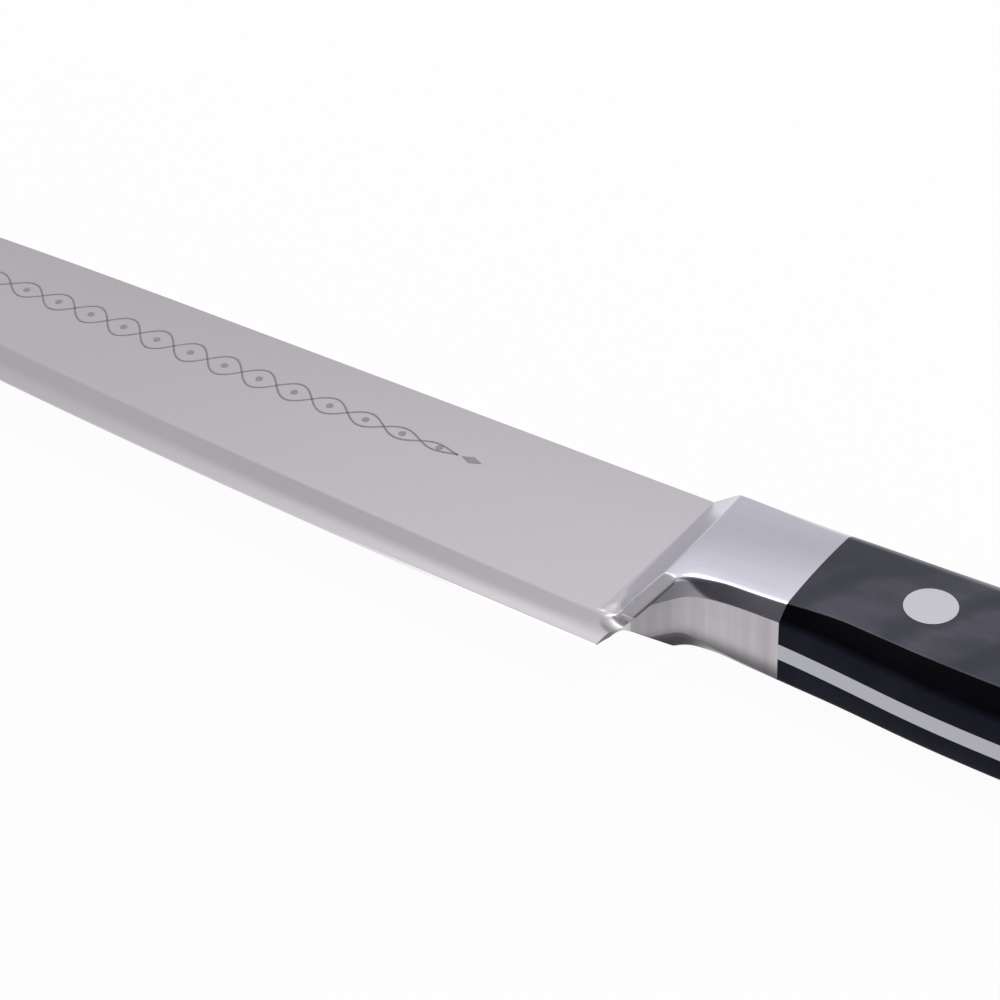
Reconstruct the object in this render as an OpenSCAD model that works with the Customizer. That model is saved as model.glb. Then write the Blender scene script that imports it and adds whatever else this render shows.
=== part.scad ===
// Carving knife lying on its side: a full-tang blade, two welded bolster
// cheeks, two handle scales and three flush two-piece cutler's rivets.
// X runs from the point to the butt, Y from the edge to the spine, and Z
// through the thickness. While it is built, x = 0 is the joint between the
// bolster and the scales, y = 0 the line of the rivets and z = 0 the middle
// of the steel. in_frame() then sets the knife down on z = 0.

/* [Blade] */
// Length of the edge, from heel to point
blade_l = 260; // [210:5:310]
// Height of the blade at its heel, from edge to spine
heel_h = 37.2; // [33:0.2:44]
// Thickness of the steel at the bolster and all through the tang
stock_t = 2.8; // [2.2:0.1:3.6]
// Thickness that the flats lose from heel to point
distal_taper = 1.5; // [0.6:0.1:1.6]
// Thickness that the flats lose from the spine to the ground band
height_taper = 1.0; // [0.4:0.1:1.2]
// How far the point lies below the spine
tip_drop = 8.8; // [4:0.2:14]
// Share of the blade, from the heel, whose spine is dead straight
straight_spine = 0.4; // [0.2:0.05:0.7]
// Height of the ground band above the edge
band_h = 5.1; // [3.5:0.1:7]
// Height of the honed edge within that band
honed_h = 0.6; // [0.4:0.1:1]
// Thickness of the steel behind the honed edge
honed_t = 0.4; // [0.2:0.05:0.6]

/* [Bolster] */
// Length of a cheek's flat side, from the scales to its front edge
cheek_l = 19; // [15:0.2:26]
// Half thickness of the bolster at its front edge
cheek_front_t = 6.9; // [5.8:0.1:7.4]
// Drop from the rivet line to the underside of the bolster
bolster_drop = 12.2; // [10.5:0.1:13.5]
// Radius at the foot of the front slope, where it runs into the blade
slope_foot_r = 3; // [2:0.5:4]
// Radius of the hollow front slope above its foot
slope_r = 45; // [30:1:80]
// Distance from a cheek's front edge to the heel of the edge
heel_gap = 4.1; // [3.6:0.1:5]
// Fall of the heel facet for each millimetre towards the edge
facet_pitch = 0.9; // [0.8:0.05:1.1]
// Radius of the small hollow that thins the steel under the facet
dish_r = 4; // [3:0.5:6]

/* [Handle] */
// Length of the scales
grip_l = 111; // [95:1:130]
// Thickness of the handle at the front rivet
grip_t = 16; // [14:0.2:19]
// Thickness that the handle gains at the palm swell
palm_swell = 0.8; // [0:0.1:2]
// Crown of each broad side
side_crown = 0.45; // [0.2:0.05:0.8]
// Height of the spine above the rivet line
spine_rise = 11.8; // [10.8:0.1:13]
// Drop from the rivet line to the belly swell
belly_drop = 14.6; // [13.2:0.1:16]
// Drop from the rivet line to the beak at the butt
beak_drop = 15.8; // [14:0.1:18]
// Radius of the butt's two corners, seen from the side
butt_r = 9; // [6:0.5:10]
// Rounding of the butt across the thickness
butt_edge_r = 2.5; // [1.5:0.25:3.5]

/* [Rivets] */
// Distance from the bolster to the front rivet
rivet_inset = 18; // [14:0.5:22]
// Spacing of the rivets
rivet_pitch = 35.5; // [30:0.5:36]
// Diameter of the flush heads
head_d = 8; // [6:0.25:9]
// Thickness of a head where the handle is thickest
head_t = 2.2; // [1.5:0.1:3]
// Outer diameter of the female rivet's tube
tube_d = 5; // [4.4:0.1:5.6]
// Diameter of the male rivet's shank
shank_d = 3.6; // [3:0.1:4]
// Length of the shank inside the tube
shank_grip = 6; // [4:0.5:8]
// Radial clearance of each rivet in the scales and the tang
rivet_fit = 0.05; // [0.02:0.01:0.1]
// Radial clearance of the shank in the tube
press_fit = 0.01; // [0.005:0.005:0.03]

/* [Hidden] */

half_stock = stock_t / 2;
half_grip = grip_t / 2;
heel_x = -cheek_l - heel_gap;
edge_y = spine_rise - heel_h;
tip_x = heel_x - blade_l;
tip_y = spine_rise - tip_drop;

// Slopes of the flat on each side of the blade, along X and along Y
flat_fall_x = distal_taper / 2 / blade_l;
flat_fall_y = height_taper / 2 / (heel_h - band_h);

// The edge lifts from heel to point by a straight, a square and a late term
lift_straight = 0.105;
lift_square = 0.5;
lift_late = 1 - lift_straight - lift_square;
late_power = 5;
spine_power = 2.2;

// The choil: where the underside leaves the heel, its straight climb and the
// finger hollow behind it
choil_foot = [heel_x + 1.9, edge_y + 6.5];
choil_bow = [heel_x, edge_y + 4];
choil_top = [choil_foot.x + 4, choil_foot.y + 5.4];
hollow_x = choil_top.x + 3.7;
hollow_y = -bolster_drop + 0.25;

// Where the heel facet meets the middle of the steel, and the middle of the
// small hollow under it
facet_y = choil_foot.y - 0.9;
dish = [choil_foot.x - 0.7, facet_y - 0.9, 0.3 + dish_r];

// The front slope's profile, out from the flat: its foot, then the hollow rise
slope_turn = 36;
slope_foot = [for (a = [0:9:slope_turn]) slope_foot_r * [sin(a), 1 - cos(a)]];
slope_rise = [for (a = [1:14]) slope_foot[len(slope_foot) - 1] + slope_r
    * [sin(slope_turn + a) - sin(slope_turn), cos(slope_turn) - cos(slope_turn + a)]];
slope = concat(slope_foot, slope_rise);
slope_z = half_stock - height_taper / 2 - 0.05;
slope_l = lookup(cheek_front_t - slope_z, [for (p = slope) [p.y, p.x]]);

// Curves along the handle, as knots of place, height and slope
belly_knots = [
    [choil_foot.x, choil_foot.y, 1.35],
    [choil_top.x, choil_top.y, 1.2],
    [hollow_x, hollow_y, 0.05],
    [0, -bolster_drop, -0.045],
    [rivet_inset, -(bolster_drop + belly_drop) / 2 - 0.3, -0.1],
    [rivet_inset * 2, -belly_drop, -0.01],
    [grip_l * 0.56, -belly_drop + 1, 0.015],
    [grip_l * 0.88, -beak_drop, -0.09],
    [grip_l, -beak_drop - 0.6, 0]];
top_knots = [
    [heel_x, spine_rise, 0],
    [0, spine_rise, 0.025],
    [rivet_inset * 1.3, spine_rise + 0.8, 0.02],
    [grip_l * 0.5, spine_rise + 0.6, -0.03],
    [grip_l * 0.82, spine_rise - 1.4, -0.085],
    [grip_l, spine_rise - 3.4, -0.1]];
side_knots = [
    [heel_x, cheek_front_t - 0.3, 0.06],
    [-cheek_l, cheek_front_t, 0.065],
    [0, half_grip - 0.1, 0.03],
    [rivet_inset, half_grip, 0.012],
    [grip_l * 0.5, half_grip + palm_swell / 2, 0],
    [grip_l * 0.8, half_grip, -0.02],
    [grip_l, half_grip - 0.6, -0.02]];
// Widths of the corners between a broad side and the belly or spine
belly_corner_knots = [
    [heel_x, 0.3, 0],
    [choil_top.x, 0.5, 0.1],
    [hollow_x, 1.35, 0.25],
    [0, 2.5, 0.13],
    [10, 3.9, 0.05],
    [grip_l * 0.5, 4.4, 0],
    [grip_l, 4.4, 0]];
// Share of the half thickness that the underside takes before its corner, how
// far it has rounded up by then, and how far the corner swells past straight
under_knots = [
    [heel_x, 0.47, 0],
    [choil_top.x, 0.49, 0.012],
    [hollow_x, 0.6, 0.025],
    [0, 0.73, 0.006],
    [grip_l * 0.1, 0.745, 0],
    [grip_l * 0.3, 0.7, -0.001],
    [grip_l, 0.7, 0]];
round_knots = [
    [heel_x, 0, 0],
    [0, 0.05, 0.02],
    [grip_l * 0.1, 0.35, 0.02],
    [grip_l * 0.3, 0.45, 0],
    [grip_l, 0.45, 0]];
swell_knots = [
    [heel_x, 0.1, 0],
    [hollow_x, 0.3, 0.02],
    [hollow_x / 2, 0.45, 0],
    [0, 0.15, -0.02],
    [grip_l * 0.1, 0.15, 0],
    [grip_l, 0.15, 0]];
top_corner_knots = [
    [heel_x, 1.9, 0],
    [0, 3.6, 0.02],
    [grip_l * 0.5, 4.2, 0],
    [grip_l, 4.2, 0]];

// Places along X of the cross-sections
choil_steps = [for (i = [0:5]) choil_foot.x + (choil_top.x - choil_foot.x) * i / 5];
hollow_steps = [for (i = [1:9]) choil_top.x + (hollow_x - choil_top.x) * i / 9];
neck_steps = [for (i = [1:5]) hollow_x * (1 - i / 5)];
grip_steps = [for (i = [0:24]) (grip_l - butt_r) * i / 24];
butt_steps = [for (i = [1:10]) grip_l - butt_r + butt_r * sin(90 * i / 10)];
front_x = -cheek_l - slope_l;
cheek_steps = concat([front_x - 0.4, (front_x + choil_foot.x) / 2],
    choil_steps, hollow_steps, neck_steps);
scale_steps = concat(grip_steps, butt_steps);
blade_steps = [for (i = [0:36]) 1 - pow(1 - i / 36, 1.3)];
edge_steps = [for (i = [1:25]) 1 - pow(1 - i / 26, 1.3)];

rivet_x = [for (i = [0:2]) rivet_inset + rivet_pitch * i];
head_seat = [for (x = rivet_x) side_z(x) - head_t - side_crown / 12];

knife_top = max([for (x = scale_steps) top_y(x)]);
knife_side = max([for (x = scale_steps) side_z(x)]);
far = 2 * blade_l;
over = 0.9;
spare = 1.7;

// A smooth curve through knots of place, height and slope, read at x
function curve(knots, x, i = 0) =
    x >= knots[i + 1].x && i < len(knots) - 2 ? curve(knots, x, i + 1) :
    let (a = knots[i], b = knots[i + 1], w = b.x - a.x, t = (x - a.x) / w)
    a.y * (2 * t^3 - 3 * t^2 + 1) + a.z * w * (t^3 - 2 * t^2 + t)
    + b.y * (3 * t^2 - 2 * t^3) + b.z * w * (t^3 - t^2);

// How far a corner of radius r at the butt has come in at x
function butt_in(x, r) =
    x <= grip_l - r ? 0 : r - sqrt(max(0, r^2 - (x - grip_l + r)^2));

function top_y(x) = curve(top_knots, x) - butt_in(x, butt_r);
function belly_y(x) =
    max(choil_foot.y, curve(belly_knots, max(x, choil_foot.x))) + butt_in(x, butt_r);
function side_z(x) = curve(side_knots, x) - butt_in(x, butt_edge_r);

function edge_lift(u) = lift_straight * u + lift_square * u^2 + lift_late * u^late_power;
function blade_edge(u) = edge_y + (tip_y - edge_y) * edge_lift(u);
function blade_spine(u) = spine_rise
    - tip_drop * pow(max(0, u - straight_spine) / (1 - straight_spine), spine_power);
function flat_z(x, y) =
    half_stock - flat_fall_x * (heel_x - x) - flat_fall_y * (spine_rise - y);

function bow(a, b, c, n) = [for (i = [0:n]) let (t = i / n)
    a * (1 - t)^2 + b * 2 * t * (1 - t) + c * t^2];
function reverse(list) = [for (i = [len(list) - 1:-1:0]) list[i]];
function tail(list) = [for (i = [1:len(list) - 1]) list[i]];

// Left half of the cross-section at x, from the spine round to the belly
function half_section(x) =
    let (top = top_y(x), belly = belly_y(x),
        crease = side_z(x) - side_crown,
        shrink = min(1, (top - belly) / 16),
        top_corner = curve(top_corner_knots, x) * shrink,
        belly_corner = curve(belly_corner_knots, x) * shrink,
        upper = bow([top, crease * 0.35], [top - 0.3, crease * 0.82],
            [top - top_corner, crease], 6),
        high = top - top_corner, low = belly + belly_corner,
        foot = [belly + curve(round_knots, x) * shrink, crease * curve(under_knots, x)],
        brow = [low, crease], across = brow - foot,
        swell = curve(swell_knots, x) * [-across.y, across.x] / norm(across),
        lower = bow(foot, (foot + brow) / 2 + swell, brow, 5),
        under = bow([belly, half_stock], [belly, (half_stock + foot.y) / 2], foot, 3),
        side = [for (i = [1:5]) let (u = i / 6)
            [high + (low - high) * u, crease + side_crown * (1 - (2 * u - 1)^2)]])
    concat([[top, half_stock]], upper, side, reverse(lower), tail(reverse(under)));

// A solid skinned over cross-sections, each a list of [y, z], at the places xs.
// The points run clockwise, seen from the end where the places start.
module skin(xs, sections) {
    n = len(sections[0]);
    last = len(xs) - 1;
    points = [for (i = [0:last]) for (p = sections[i]) [xs[i], p.x, p.y]];
    walls = [for (i = [0:last - 1]) for (j = [0:n - 1])
        let (a = i * n + j, b = i * n + (j + 1) % n)
        for (f = [[a, b + n, b], [a, a + n, b + n]]) f];
    ends = [[for (j = [0:n - 1]) j], [for (j = [n - 1:-1:0]) last * n + j]];
    polyhedron(points, concat(walls, ends));
}

module in_frame() {
    translate([-(tip_x + grip_l) / 2, -(edge_y + knife_top) / 2, knife_side])
        children();
}

module half_grip(steps) {
    skin(steps, [for (x = steps) half_section(x)]);
}

// Outline of the whole steel piece, seen from the left, with some spare metal
// below the edge for the grinding to take off
module steel_outline() {
    below = [for (u = [1.01:-0.09:0.1]) [heel_x - blade_l * u, blade_edge(u) - spare]];
    choil = tail(bow([heel_x, edge_y], choil_bow, choil_foot, 5));
    heel = [heel_x, edge_y] - (choil[0] - [heel_x, edge_y]) * spare;
    under = [for (x = concat(tail(choil_steps), hollow_steps, neck_steps,
        tail(scale_steps))) [x, belly_y(x)]];
    back = [for (x = reverse(scale_steps)) [x, top_y(x)]];
    spine = [for (i = [0:len(blade_steps) - 2]) let (u = blade_steps[i])
        [heel_x - blade_l * u, blade_spine(u)]];
    point = [tip_x, tip_y] + ([tip_x, tip_y] - spine[len(spine) - 1]) * spare;
    polygon(concat(below, [heel], choil, under, back, spine, [point]));
}

// The space in front of the bolster's hollow slope, as a part of the X-Z plane
module slope_profile() {
    head = slope[len(slope) - 1];
    translate([front_x, slope_z])
        polygon(concat([[-far, -stock_t], [0, -stock_t]], slope,
            [head + [4, 5], [-far, head.y + 5]]));
}

// Everything that the wheel takes off the left side
module ground_away() {
    intersection() {
        translate([heel_x, spine_rise, half_stock])
            rotate([atan(flat_fall_y), -atan(flat_fall_x), 0])
                translate([-far, -far, 0])
                    cube([2 * far, 2 * far, grip_t]);
        union() {
            translate([0, far / 2, 0])
                rotate([90, 0, 0])
                    linear_extrude(far)
                        slope_profile();
            translate([-far, facet_y, 0])
                rotate([atan(facet_pitch), 0, 0])
                    translate([0, -far, 0])
                        cube([far, far + grip_t, grip_t]);
        }
    }
    translate(dish)
        sphere(r = dish_r, $fn = 64);
}

module far_side() {
    mirror([0, 0, 1])
        children();
}

module both_sides() {
    children();
    far_side()
        children();
}

// The stock outside the ground band and the honed edge on the left side. Both
// slopes run on past the lines where they meet the flat and each other.
module band_cut() {
    us = concat([-4 / blade_l], edge_steps, [1 + 6 / blade_l]);
    skin([for (u = reverse(us)) heel_x - blade_l * u],
        [for (u = reverse(us))
            let (x = heel_x - blade_l * u, y = blade_edge(max(u, 0)),
                grind = y + band_h, hone = y + honed_h,
                z = flat_z(x, grind), slope = (z - honed_t / 2) / (band_h - honed_h))
            [[grind + over, z + slope * over], [grind + over, z + 4], [y - 4, z + 4],
            [y - 4, -0.5 * honed_t], [y - honed_h, -0.5 * honed_t], [hone, 0.5 * honed_t]]]);
}

module blade() {
    color("lightsteelblue")
        difference() {
            translate([0, 0, -half_stock])
                linear_extrude(stock_t)
                    steel_outline();
            both_sides()
                ground_away();
            both_sides()
                band_cut();
            for (x = rivet_x)
                translate([x, 0, -stock_t])
                    cylinder(h = 2 * stock_t, d = tube_d + 2 * rivet_fit, $fn = 48);
        }
}

module bolster_cheek() {
    color("silver")
        difference() {
            half_grip(cheek_steps);
            ground_away();
        }
}

module handle_scale() {
    color("#26262b")
        difference() {
            half_grip(scale_steps);
            for (i = [0:2])
                translate([rivet_x[i], 0, 0]) {
                    cylinder(h = knife_side + 1, d = tube_d + 2 * rivet_fit, $fn = 48);
                    translate([0, 0, head_seat[i]])
                        cylinder(h = knife_side, d = head_d + 2 * rivet_fit, $fn = 64);
                }
        }
}

// A rivet head, flush with the scale round it
module flush_head(i) {
    translate([rivet_x[i], 0, head_seat[i]])
        cylinder(h = head_t, d = head_d, $fn = 64);
}

module rivet_male(i) {
    color("gainsboro") {
        flush_head(i);
        translate([rivet_x[i], 0, head_seat[i] - 0.3 - shank_grip])
            cylinder(h = shank_grip + 0.3, d = shank_d, $fn = 48);
    }
}

module rivet_female(i) {
    tube_l = 2 * head_seat[i] - 0.3;
    color("gainsboro")
        difference() {
            union() {
                far_side()
                    flush_head(i);
                translate([rivet_x[i], 0, -head_seat[i]])
                    cylinder(h = tube_l, d = tube_d, $fn = 48);
            }
            translate([rivet_x[i], 0, head_seat[i] - 0.3 - shank_grip - 0.5])
                cylinder(h = far, d = shank_d + 2 * press_fit, $fn = 48);
        }
}

in_frame() blade();
in_frame() bolster_cheek();  // bolster_cheek_left
in_frame() far_side() bolster_cheek();  // bolster_cheek_right
in_frame() handle_scale();  // scale_left
in_frame() far_side() handle_scale();  // scale_right
in_frame() rivet_male(0);  // rivet_front_male
in_frame() rivet_female(0);  // rivet_front_female
in_frame() rivet_male(1);  // rivet_middle_male
in_frame() rivet_female(1);  // rivet_middle_female
in_frame() rivet_male(2);  // rivet_rear_male
in_frame() rivet_female(2);  // rivet_rear_female
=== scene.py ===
# Carving knife, set down as it lies in the photograph: finer surfaces for the
# ground steel and the shaped handle, their finishes, an etched running twist,
# the floor, the lights and the camera. Objects are in metres, in the frame of
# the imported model; the shapes are worked out in millimetres in the knife's own
# frame, where x = 0 is the joint between bolster and scales, y = 0 the line of
# the rivets and z = 0 the middle of the steel.
import bmesh
import bpy
import math
import numpy as np
from mathutils import Matrix, Vector


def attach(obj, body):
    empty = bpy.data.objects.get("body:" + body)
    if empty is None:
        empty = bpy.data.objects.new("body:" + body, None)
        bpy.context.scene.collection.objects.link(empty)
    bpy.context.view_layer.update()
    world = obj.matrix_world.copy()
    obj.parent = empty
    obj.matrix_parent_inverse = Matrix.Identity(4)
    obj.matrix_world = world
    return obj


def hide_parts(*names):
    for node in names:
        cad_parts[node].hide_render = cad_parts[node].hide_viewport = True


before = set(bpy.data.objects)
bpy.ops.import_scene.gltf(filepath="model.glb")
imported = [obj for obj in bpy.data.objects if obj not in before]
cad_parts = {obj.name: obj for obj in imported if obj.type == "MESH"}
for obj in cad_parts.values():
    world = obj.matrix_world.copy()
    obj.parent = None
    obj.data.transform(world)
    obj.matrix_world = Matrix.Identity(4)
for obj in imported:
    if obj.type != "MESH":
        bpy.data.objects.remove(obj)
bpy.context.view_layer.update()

# Where the knife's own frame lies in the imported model's frame, in mm.
KNIFE_AT = np.array((86.05, 6.3438, 8.39999))

# Blade
BLADE_L, HEEL_H, TIP_DROP = 260.0, 37.2, 8.8
HALF_STOCK, SPINE_Y = 1.4, 11.8
DISTAL_TAPER, HEIGHT_TAPER = 1.5, 1.0
BAND_H, HONED_H, HONED_T, BAND_BELLY = 5.1, 0.42, 0.14, 0.05
THIN, TIP_CUT, HEEL_ROWS_L = 0.004, 0.1, 7.0
EDGE_Y = SPINE_Y - HEEL_H
TIP_Y = SPINE_Y - TIP_DROP

# Bolster
CHEEK_L, CHEEK_FRONT_T, BOLSTER_DROP = 19.0, 6.9, 12.2
SLOPE_FOOT_R, SLOPE_R, SLOPE_TURN = 3.0, 45.0, 36.0
FACET_PITCH, FACET_DROP, DISH_R = 0.9, 0.9, 4.0
HEEL_GAP, CHOIL_IN, CHOIL_H = 4.1, 1.9, 6.5
FACET_L, FACET_H, HOLLOW_L = 4.0, 5.4, 3.7
HEEL_X = -CHEEK_L - HEEL_GAP
TIP_X = HEEL_X - BLADE_L

# Handle
GRIP_L, HALF_GRIP, PALM_SWELL, SIDE_CROWN = 111.0, 8.0, 0.8, 0.45
BELLY_DROP, BEAK_DROP = 14.6, 15.8
BUTT_R, BUTT_EDGE_R = 9.0, 2.5
SPINE_ROUND = 18

# Rivets
RIVET_X = (18.0, 53.5, 89.0)
HEAD_R, HEAD_T, TUBE_R, RIVET_FIT = 4.0, 2.2, 2.5, 0.05

# The choil under the heel: foot and top of its facet, the hollow behind, and the painted highlight spot at
# the foot.
FOOT = np.array((HEEL_X + CHOIL_IN, EDGE_Y + CHOIL_H))
TOP = FOOT + (FACET_L, FACET_H)
HOLLOW_X = TOP[0] + HOLLOW_L
FACET_Y = FOOT[1] - FACET_DROP
PAINTED_GLINT = (HEEL_X + 0.5, FACET_Y + 0.5)
SLOPE_Z = HALF_STOCK - HEIGHT_TAPER / 2 - 0.05

# Lines along the knife, each through knots of place, height and slope: the two outlines, half the
# thickness, the corners of the handle's section and the height of the ground band.
BELLY_KNOTS = ((FOOT[0], FOOT[1], 1.35), (TOP[0], TOP[1], 1.2),
               (HOLLOW_X, -BOLSTER_DROP + 0.25, 0.05), (0, -BOLSTER_DROP, -0.045),
               (18, -(BOLSTER_DROP + BELLY_DROP) / 2 - 0.3, -0.1), (36, -BELLY_DROP, -0.01),
               (GRIP_L * 0.56, -BELLY_DROP + 1, 0.015), (GRIP_L * 0.88, -BEAK_DROP, -0.09),
               (GRIP_L, -BEAK_DROP - 0.6, 0))
TOP_KNOTS = ((HEEL_X, SPINE_Y, 0), (0, SPINE_Y, 0.025), (23.4, SPINE_Y + 0.8, 0.02),
             (GRIP_L * 0.5, SPINE_Y + 0.6, -0.03), (GRIP_L * 0.82, SPINE_Y - 1.4, -0.085),
             (GRIP_L, SPINE_Y - 3.4, -0.1))
SIDE_KNOTS = ((HEEL_X, CHEEK_FRONT_T - 0.3, 0.06), (-CHEEK_L, CHEEK_FRONT_T, 0.065),
              (0, HALF_GRIP - 0.1, 0.03), (18, HALF_GRIP, 0.012),
              (GRIP_L * 0.5, HALF_GRIP + PALM_SWELL / 2, 0), (GRIP_L * 0.8, HALF_GRIP, -0.02),
              (GRIP_L, HALF_GRIP - 0.6, -0.02))
BELLY_CORNER_KNOTS = ((HEEL_X, 0.3, 0), (TOP[0], 0.5, 0.1), (HOLLOW_X, 1.35, 0.25), (0, 2.5, 0.13),
                      (10, 3.9, 0.05), (GRIP_L * 0.5, 4.4, 0), (GRIP_L, 4.4, 0))
UNDER_KNOTS = ((HEEL_X, 0.47, 0), (TOP[0], 0.49, 0.012), (HOLLOW_X, 0.6, 0.025), (0, 0.73, 0.006),
               (GRIP_L * 0.1, 0.745, 0), (GRIP_L * 0.3, 0.7, -0.001), (GRIP_L, 0.7, 0))
ROUND_KNOTS = ((HEEL_X, 0, 0), (0, 0.05, 0.02), (GRIP_L * 0.1, 0.35, 0.02),
               (GRIP_L * 0.3, 0.45, 0), (GRIP_L, 0.45, 0))
SWELL_KNOTS = ((HEEL_X, 0.1, 0), (HOLLOW_X, 0.3, 0.02), (HOLLOW_X / 2, 0.45, 0),
               (0, 0.15, -0.02), (GRIP_L * 0.1, 0.15, 0), (GRIP_L, 0.15, 0))
BAND_KNOTS = ((TIP_X, 6.8, 0), (-120, 6.7, -0.003), (-80, 6.5, -0.01), (-30, 5.9, -0.012), (0, 5.6, 0))
TOP_CORNER_KNOTS = ((HEEL_X, 1.9, 0), (0, 3.6, 0.02), (GRIP_L * 0.5, 4.2, 0), (GRIP_L, 4.2, 0))


def curve(knots, x):
    """A smooth curve through knots of place, height and slope, read at x."""
    places = np.array([k[0] for k in knots])
    i = int(np.clip(np.searchsorted(places, x, side="right") - 1, 0, len(knots) - 2))
    (ax, ay, am), (bx, by, bm) = knots[i], knots[i + 1]
    w = bx - ax
    t = (x - ax) / w
    return (ay * (2 * t**3 - 3 * t**2 + 1) + am * w * (t**3 - 2 * t**2 + t)
            + by * (3 * t**2 - 2 * t**3) + bm * w * (t**3 - t**2))


def butt_in(x, r):
    """How far the butt's rounding of radius r draws an outline in."""
    return 0.0 if x <= GRIP_L - r else r - math.sqrt(max(0.0, r * r - (x - GRIP_L + r) ** 2))


def top_y(x):
    return curve(TOP_KNOTS, x) - butt_in(x, BUTT_R)


def belly_y(x):
    return max(FOOT[1], curve(BELLY_KNOTS, max(x, FOOT[0]))) + butt_in(x, BUTT_R)


def side_z(x):
    return curve(SIDE_KNOTS, x) - butt_in(x, BUTT_EDGE_R)


def blade_edge(u):
    """Height of the edge at the share u of the blade, from the heel to the point."""
    return EDGE_Y + (TIP_Y - EDGE_Y) * (0.105 * u + 0.5 * u**2 + 0.395 * u**5)


def blade_spine(u):
    return SPINE_Y - TIP_DROP * (max(0.0, u - 0.4) / 0.6) ** 2.2


def soft_min(a, b, width):
    """The lower of two surfaces, with a fillet where they lie closer than width."""
    h = np.maximum(width - np.abs(a - b), 0) / width
    return np.minimum(a, b) - h * h * width / 4


def soft_max(a, b, width):
    return -soft_min(-a, -b, width)


def flat_z(x, y):
    """The blade's flat, thinner towards the point and towards the edge."""
    return (HALF_STOCK - DISTAL_TAPER / 2 / BLADE_L * (HEEL_X - x)
            - HEIGHT_TAPER / 2 / (HEEL_H - BAND_H) * (SPINE_Y - y))


def slope_profile():
    """The bolster's front slope: a small round foot, then a wide hollow rise."""
    foot = [(SLOPE_FOOT_R * math.sin(a), SLOPE_FOOT_R * (1 - math.cos(a)))
            for a in np.radians(np.linspace(0, SLOPE_TURN, 13))]
    turn = math.radians(SLOPE_TURN)
    rise = [(foot[-1][0] + SLOPE_R * (math.sin(a) - math.sin(turn)),
             foot[-1][1] + SLOPE_R * (math.cos(turn) - math.cos(a)))
            for a in np.radians(SLOPE_TURN + np.linspace(0.4, 14, 35))]
    return np.array(foot + rise)


SLOPE = slope_profile()
FRONT_X = -CHEEK_L - float(np.interp(CHEEK_FRONT_T - SLOPE_Z, SLOPE[:, 1], SLOPE[:, 0]))


def smooth_step(value, start, stop):
    t = np.clip((value - start) / (stop - start), 0, 1)
    return t * t * (3 - 2 * t)


def run_out(x, y):
    """How far the slope's foot falls back towards the heel, in mm."""
    return 2.6 * np.clip((-12 - y) / 7, 0, 1) ** 2 * smooth_step(x, FRONT_X + 0.6, FRONT_X + 2.8)


def slope_z(x, y):
    place = x - FRONT_X - run_out(x, y)
    return SLOPE_Z + np.interp(place, SLOPE[:, 0], SLOPE[:, 1], left=-HALF_STOCK)


def facet_z(y):
    return FACET_PITCH * (y - FACET_Y)


def dish_z(x, y):
    """The small hollow under the heel facet, drawn out along the blade."""
    r2 = (0.6 * (x - FOOT[0] + 0.9)) ** 2 + (y - FACET_Y + 0.8) ** 2
    return 0.3 + DISH_R - np.sqrt(np.maximum(DISH_R**2 - r2, 0)) + np.where(r2 < DISH_R**2, 0, 9)


def heel_thin(x, y):
    """The steel's share of its thickness near the heel's end face, where the wheel ran off."""
    return 1 - 0.45 * np.exp(-((x - FOOT[0]) / 1.4) ** 2) * smooth_step(-y, 18.9, 20.6)


def ground_z(x, y):
    """Height of the ground steel, from the blade's flat up the bolster's slope."""
    rise = soft_min(slope_z(x, y), facet_z(y), 0.25)
    near = np.exp(-((x - FOOT[0] + 1.2) ** 2 + (y - FACET_Y - 0.8) ** 2) / 2)
    return soft_max(soft_min(flat_z(x, y), dish_z(x, y), 0.2), rise, 0.08 + 0.6 * near)


def bow(a, b, c, t):
    """A bow from a to c that leans towards b."""
    return a * (1 - t) ** 2 + b * 2 * t * (1 - t) + c * t**2


def steps_along(points):
    return np.concatenate(([0], np.cumsum(np.linalg.norm(np.diff(points, axis=0), axis=1))))


def part_of(points, start, stop, n):
    """The part of a line between two lengths along it, with n places evenly spaced."""
    steps = steps_along(points)
    places = np.linspace(start, stop, n)
    return np.stack((np.interp(places, steps, points[:, 0]), np.interp(places, steps, points[:, 1])), 1)


def eased(lines, counts, reaches, n=9):
    """Lines that meet end to end, with a small bow over each corner between them.

    Also gives, for each point, the number of the line that it lies on.
    """
    lengths = [steps_along(line)[-1] for line in lines]
    parts, places = [], []
    for i, line in enumerate(lines):
        start = min(reaches[i - 1][1], 0.45 * lengths[i]) if i else 0
        stop = lengths[i] - (min(reaches[i][0], 0.45 * lengths[i]) if i < len(reaches) else 0)
        piece = part_of(line, start, stop, counts[i])
        if i:
            arc = np.array([bow(parts[-1][-1], line[0], piece[0], t) for t in np.linspace(0, 1, n)])
            parts.append(arc[1:-1])
            places.append(np.linspace(i - 1, i, n)[1:-1])
        parts.append(piece)
        places.append(np.full(counts[i], float(i)))
    return np.concatenate(parts), np.concatenate(places)


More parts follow.
